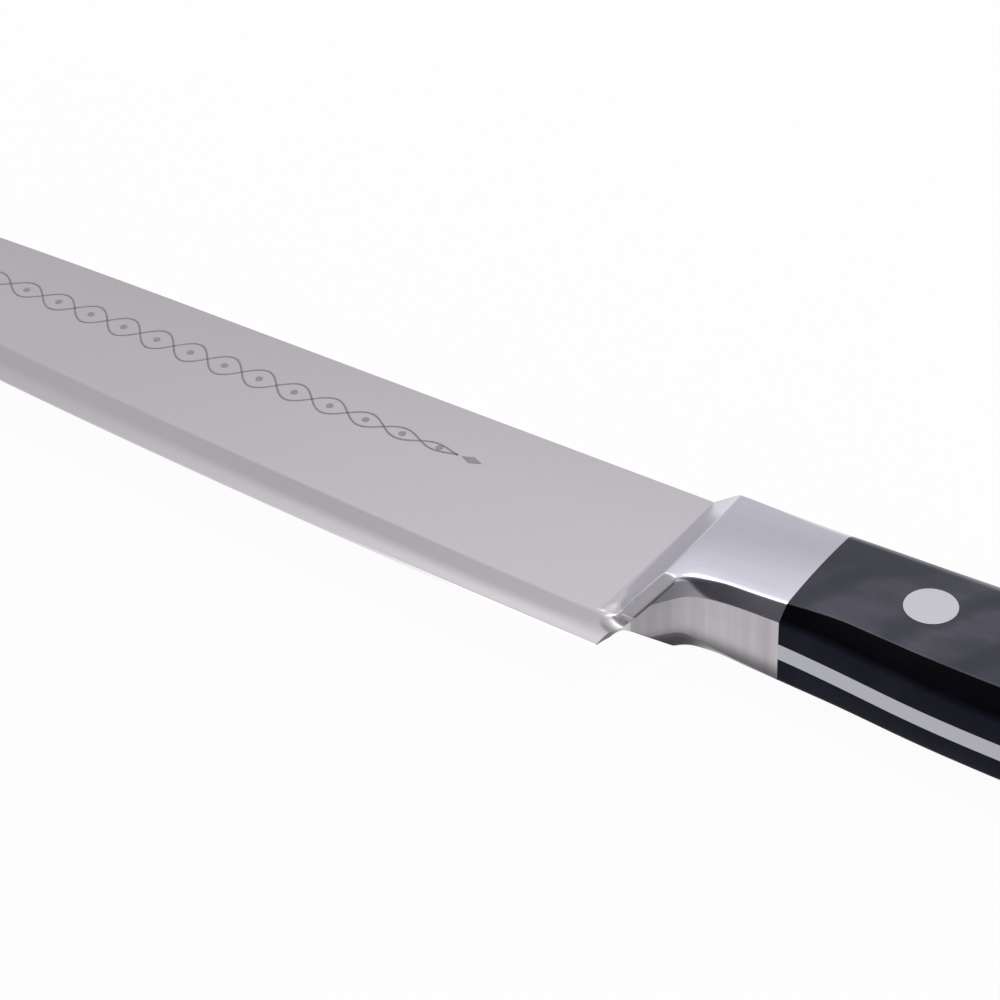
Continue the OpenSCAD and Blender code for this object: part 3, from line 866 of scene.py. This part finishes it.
def buffed_black_wood_painted_sheen():
    material, shader, add, link = finish_nodes("buffed_black_wood_painted_sheen")
    strokes, rings = wood_pattern(add, link)
    # Painted sheen: the flank's colour kept far lighter than the same wood underneath.
    light = graded(add, link, strokes, (0.03, 0.029, 0.052, 1), (0.058, 0.054, 0.085, 1))
    link(mix_colour(add, link, spread(add, link, rings, 0, 1, 0.1, 0.8), (0.004, 0.006, 0.024, 1), light),
         shader.inputs["Base Color"])
    shader.inputs["Specular IOR Level"].default_value = 0.42
    link(spread(add, link, strokes, 0.38, 0.28), shader.inputs["Roughness"])
    bump(add, link, shader, strokes, 0.1, 0.0002)
    return material


def sanded_black_wood_painted_shade():
    material, shader, add, link = finish_nodes("sanded_black_wood_painted_shade")
    strokes, rings = wood_pattern(add, link)
    # Painted shade: near black on the spine and the corner, a little lighter on the belly.
    dark = graded(add, link, strokes, (0.001, 0.001, 0.002, 1), (0.002, 0.002, 0.004, 1))
    belly = graded(add, link, rings, (0.013, 0.013, 0.025, 1), (0.019, 0.019, 0.032, 1))
    link(mix_colour(add, link, attribute(add, "under"), dark, belly), shader.inputs["Base Color"])
    shader.inputs["Specular IOR Level"].default_value = 0.3
    shader.inputs["IOR"].default_value = 1.15
    link(spread(add, link, strokes, 0.4, 0.5), shader.inputs["Roughness"])
    bump(add, link, shader, strokes, 0.06, 0.0002)
    return material


def satin_rivet_steel():
    material, shader, add, link = finish_nodes("satin_rivet_steel")
    shader.inputs["Metallic"].default_value = 1.0
    fine = streaks(add, link, 1500, (0.05, 1, 1), 2)
    link(graded(add, link, fine, (0.565, 0.555, 0.6, 1), (0.572, 0.562, 0.608, 1)),
         shader.inputs["Base Color"])
    link(spread(add, link, fine, 0.25, 0.26), shader.inputs["Roughness"])
    return material


def etched_steel():
    material, shader, add, link = finish_nodes("etched_steel")
    shader.inputs["Metallic"].default_value = 1.0
    grit = streaks(add, link, 3000, (1, 1, 1), 2)
    link(graded(add, link, grit, (0.26, 0.25, 0.27, 1), (0.34, 0.32, 0.35, 1)), shader.inputs["Base Color"])
    link(spread(add, link, grit, 0.5, 0.6), shader.inputs["Roughness"])
    return material


def make_studio():
    """A pale room with its light in two steps of height, a softbox overhead and a dark curved flag."""
    world = bpy.data.worlds.new("studio")
    bpy.context.scene.world = world
    world.use_nodes = True
    nodes, links = world.node_tree.nodes, world.node_tree.links
    place = nodes.new("ShaderNodeTexCoord")
    split = nodes.new("ShaderNodeSeparateXYZ")
    links.new(place.outputs["Generated"], split.inputs[0])
    whole = nodes.new("ShaderNodeMath")
    for i, levels in enumerate(((0.54, 0.7, 0.66, 1.2), (0.42, 0.54, 0.26, 0.0))):
        rise = nodes.new("ShaderNodeMapRange")
        links.new(split.outputs["Z"], rise.inputs["Value"])
        for label, value in zip(("From Min", "From Max", "To Min", "To Max"), levels):
            rise.inputs[label].default_value = value
        links.new(rise.outputs["Result"], whole.inputs[i])
    links.new(whole.outputs[0], nodes["Background"].inputs["Strength"])
    nodes["Background"].inputs["Color"].default_value = (1, 1, 1, 1)

    lamp = bpy.data.lights.new("overhead_softbox", "AREA")
    lamp.shape, lamp.size, lamp.size_y, lamp.energy = "RECTANGLE", 0.8, 0.24, 2.0
    in_scene("overhead_softbox", lamp).location = (-0.5, 0.22, 1.1)

    turns = np.radians(np.linspace(3, -90, 24))
    ends = [(x, math.sin(a), max(0.0, math.cos(a))) for a in turns for x in (-1.4, 0.4)]
    mesh = bpy.data.meshes.new("front_flag")
    mesh.from_pydata(ends, [], [(2 * i, 2 * i + 1, 2 * i + 3, 2 * i + 2) for i in range(len(turns) - 1)])
    flag = in_scene("front_flag", mesh)
    flag.visible_camera = False
    material, shader = finish_nodes("black_flag")[:2]
    shader.inputs["Base Color"].default_value = (0.22, 0.22, 0.23, 1)
    shader.inputs["Roughness"].default_value = 0.9
    mesh.materials.append(material)


def make_floor():
    """A pale floor that the camera sees white, and that keeps the knife's shadow."""
    mesh = bpy.data.meshes.new("floor")
    corners = [(x, y, -0.0002) for x, y in ((-4, -4), (4, -4), (4, 4), (-4, 4))]
    mesh.from_pydata(corners, [], [(0, 1, 2, 3)])
    floor = in_scene("floor", mesh)
    material, shader = finish_nodes("pale_floor")[:2]
    nodes, links = material.node_tree.nodes, material.node_tree.links
    shader.inputs["Base Color"].default_value = (0.9, 0.9, 0.9, 1)
    shader.inputs["Roughness"].default_value = 0.9
    shader.inputs["Specular IOR Level"].default_value = 0.0
    glow = nodes.new("ShaderNodeEmission")
    path = nodes.new("ShaderNodeLightPath")
    seen = path.outputs["Is Camera Ray"]
    for ray in ("Is Glossy Ray", "Is Transmission Ray"):
        either = nodes.new("ShaderNodeMath")
        either.operation = "MAXIMUM"
        links.new(seen, either.inputs[0])
        links.new(path.outputs[ray], either.inputs[1])
        seen = either.outputs[0]
    part = nodes.new("ShaderNodeMath")
    part.operation = "MULTIPLY"
    part.inputs[1].default_value = 0.96
    links.new(seen, part.inputs[0])
    blend = nodes.new("ShaderNodeMixShader")
    links.new(part.outputs[0], blend.inputs[0])
    links.new(shader.outputs[0], blend.inputs[1])
    links.new(glow.outputs[0], blend.inputs[2])
    links.new(blend.outputs[0], nodes["Material Output"].inputs["Surface"])
    mesh.materials.append(material)


def make_camera():
    """The camera that the photograph was solved for."""
    azimuth, elevation, roll = math.radians(35.754), math.radians(37.512), math.radians(-2.296)
    back = Vector((math.sin(azimuth) * math.cos(elevation),
                   -math.cos(azimuth) * math.cos(elevation), math.sin(elevation)))
    level = Vector((math.cos(azimuth), math.sin(azimuth), 0))
    upright = back.cross(level)
    right = level * math.cos(roll) + upright * math.sin(roll)
    up = upright * math.cos(roll) - level * math.sin(roll)
    place = (Vector(KNIFE_AT) + Vector((161.399, -303.773, 283.810))) / 1000
    camera = in_scene("camera", bpy.data.cameras.new("camera"))
    camera.matrix_world = Matrix.Translation(place) @ Matrix((right, up, back)).transposed().to_4x4()
    camera.data.sensor_width, camera.data.lens = 36, 108
    camera.data.clip_start, camera.data.clip_end = 0.01, 20
    bpy.context.scene.camera = camera


make_camera()
make_studio()
make_floor()

blade_finish = satin_blade_steel()
bolster_finish = polished_bolster_steel()
flank_finish = buffed_black_wood_painted_sheen()
belly_finish = sanded_black_wood_painted_shade()
rivet_finish = satin_rivet_steel()
etched_finish = etched_steel()

make_blade().data.materials.append(blade_finish)
make_etched_twist(etched_finish)
for side_name, side in (("left", 1), ("right", -1)):
    cheek = make_cheek("bolster_" + side_name, "bolster_cheek_" + side_name, side)
    cheek.data.materials.append(bolster_finish)
    make_scale("handle_" + side_name, "scale_" + side_name, side, flank_finish, belly_finish)
for node_name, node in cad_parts.items():
    if node_name.startswith("rivet"):
        node.data.materials.clear()
        node.data.materials.append(rivet_finish)

bpy.context.scene.view_settings.view_transform = "Standard"
